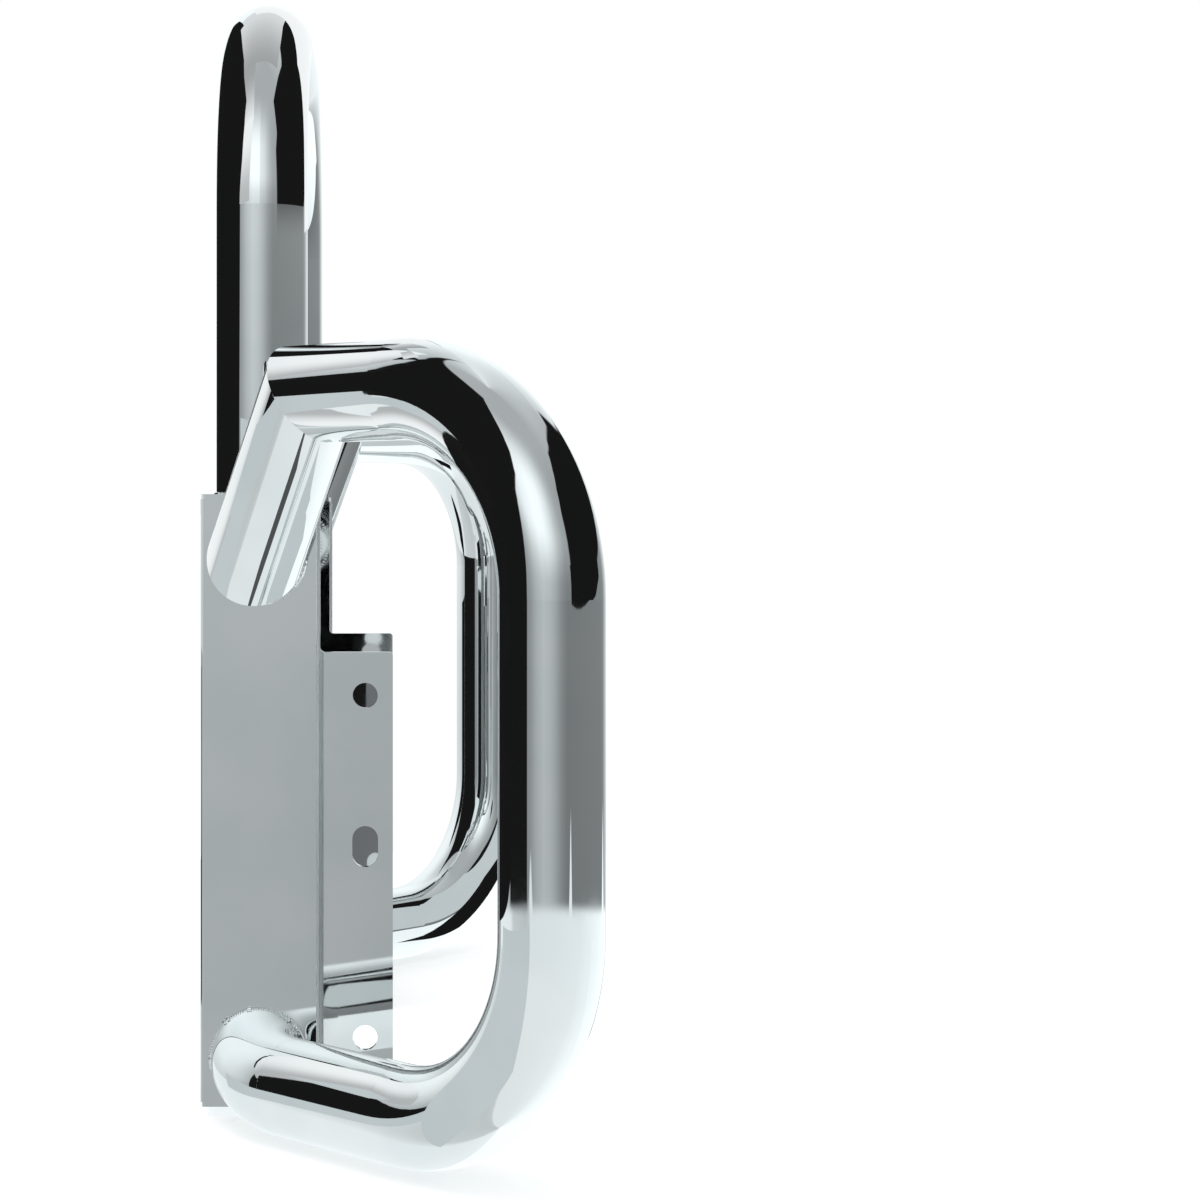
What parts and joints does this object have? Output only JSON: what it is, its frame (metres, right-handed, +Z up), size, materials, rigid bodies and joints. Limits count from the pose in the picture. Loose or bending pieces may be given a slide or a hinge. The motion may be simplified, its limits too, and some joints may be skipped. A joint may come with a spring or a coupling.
{
  "type": "tubular vehicle grille guard",
  "caption": "Chromed tubular grille guard: formed uprights with bolt-on mounting legs, a centre hoop, a cross tube and mitred D-shaped wing loops swept out to frame the headlamps.",
  "frame": {"origin": "middle of the left mounting leg's two-hole pattern, on the leg's outboard face", "axes": "+X to the rear of the vehicle, +Y to its right side, +Z up"},
  "size_m": [0.3054, 1.2126, 0.9361],
  "materials": {
    "tube_chrome": "mirror-polished plating on round tube",
    "plate_chrome": "polished plating on sheet, slightly softer than the tubes"
  },
  "bodies": {
    "root": {"left_upright": "plate_chrome", "left_top_cap": "plate_chrome", "left_bottom_cap": "plate_chrome", "right_upright": "plate_chrome", "right_top_cap": "plate_chrome", "right_bottom_cap": "plate_chrome", "centre_hoop": "tube_chrome", "cross_tube": "tube_chrome", "left_wing_loop": "tube_chrome", "left_wing_arm": "tube_chrome", "left_upper_foot": "tube_chrome", "left_lower_foot": "tube_chrome", "right_wing_loop": "tube_chrome", "right_wing_arm": "tube_chrome", "right_upper_foot": "tube_chrome", "right_lower_foot": "tube_chrome"}
  },
  "joints": []
}
